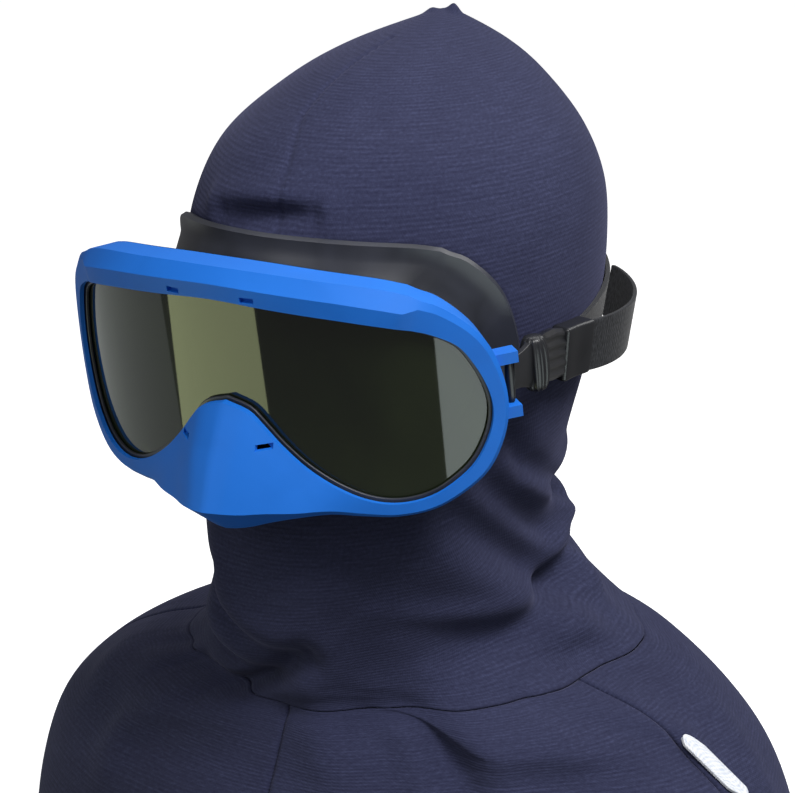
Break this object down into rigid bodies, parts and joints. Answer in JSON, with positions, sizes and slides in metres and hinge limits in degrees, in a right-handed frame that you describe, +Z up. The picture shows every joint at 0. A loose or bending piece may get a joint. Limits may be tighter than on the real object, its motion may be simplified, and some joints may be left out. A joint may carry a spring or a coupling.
{
  "type": "arc flash hood",
  "caption": "Knitted flame-resistant hood with a shoulder bib, worn with tinted wraparound goggles over its eye opening.",
  "frame": {"origin": "the inside of the crown, where the hood rests on the head, on the head's upright axis", "axes": "+Z up, the face looks to -Y, the wearer's left is +X"},
  "size_m": [0.3439, 0.2642, 0.3918],
  "materials": {
    "knit": "matt navy double knit",
    "label": "white woven label, bare",
    "frame_nylon": "satin moulded blue nylon",
    "lens": "polished dark olive polycarbonate",
    "rubber": "satin black thermoplastic rubber",
    "elastic": "black woven elastic",
    "clip_plastic": "black moulded plastic"
  },
  "bodies": {
    "root": {"hood_head": "knit", "bib_front_left": "knit", "bib_front_right": "knit", "bib_back": "knit", "seam_label": "label", "goggle_frame": "frame_nylon", "lens": "lens", "lens_gasket": "rubber", "face_seal": "rubber", "strap": "elastic", "strap_loop_left": "elastic", "strap_loop_right": "elastic", "clip_left": "clip_plastic", "clip_right": "clip_plastic", "slider_left": "clip_plastic", "slider_right": "clip_plastic"}
  },
  "joints": []
}
